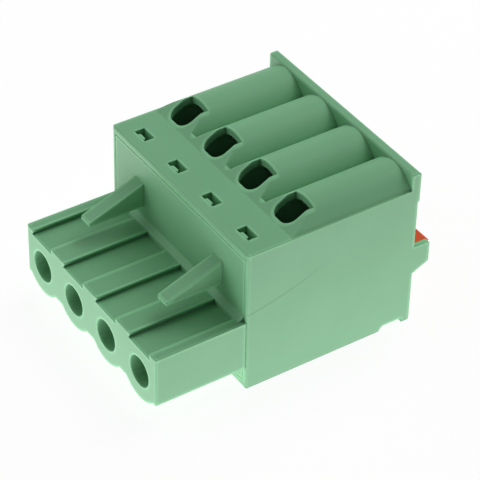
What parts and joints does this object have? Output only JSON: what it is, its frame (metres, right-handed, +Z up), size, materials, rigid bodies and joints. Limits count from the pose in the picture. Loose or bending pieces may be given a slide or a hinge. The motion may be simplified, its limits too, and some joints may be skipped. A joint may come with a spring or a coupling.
{
  "type": "pluggable terminal block plug",
  "caption": "Rectangular plug-in terminal block plug with a socketed mating nose, latch lugs, a ribbed housing, round wire entries and orange release buttons over spring clamps.",
  "frame": {"origin": "middle of the footprint, at the level of the flat underside", "axes": "+X across the poles, -Y out of the mating nose, +Y out of the wire side, +Z up"},
  "size_m": [0.0204, 0.0268, 0.0153],
  "materials": {
    "housing_plastic": "fine matte moulded surface, pale green",
    "carrier_plastic": "fine matte moulded surface, pale green",
    "tinned_copper": "stamped sheet, tin plated",
    "spring_steel": "rolled stainless strip",
    "button_plastic": "matte moulded surface, orange"
  },
  "bodies": {
    "plug": {"housing": "housing_plastic", "contact_carrier": "carrier_plastic", "contact_1": "tinned_copper", "contact_2": "tinned_copper", "contact_3": "tinned_copper", "contact_4": "tinned_copper", "clamp_spring_1": "spring_steel", "clamp_spring_2": "spring_steel", "clamp_spring_3": "spring_steel", "clamp_spring_4": "spring_steel"},
    "button_1": {"push_button_1": "button_plastic"},
    "button_2": {"push_button_2": "button_plastic"},
    "button_3": {"push_button_3": "button_plastic"},
    "button_4": {"push_button_4": "button_plastic"}
  },
  "joints": [
    {"name": "button_1_press", "type": "slide", "parent": "plug", "child": "button_1", "axis": [0, -1, 0], "range_m": [0, 0.0013], "stiffness_N_per_m": 400, "springref_m": -0.001, "deforming": ["clamp_spring_1"]},
    {"name": "button_2_press", "type": "slide", "parent": "plug", "child": "button_2", "axis": [0, -1, 0], "range_m": [0, 0.0013], "stiffness_N_per_m": 400, "springref_m": -0.001, "deforming": ["clamp_spring_2"]},
    {"name": "button_3_press", "type": "slide", "parent": "plug", "child": "button_3", "axis": [0, -1, 0], "range_m": [0, 0.0013], "stiffness_N_per_m": 400, "springref_m": -0.001, "deforming": ["clamp_spring_3"]},
    {"name": "button_4_press", "type": "slide", "parent": "plug", "child": "button_4", "axis": [0, -1, 0], "range_m": [0, 0.0013], "stiffness_N_per_m": 400, "springref_m": -0.001, "deforming": ["clamp_spring_4"]}
  ]
}
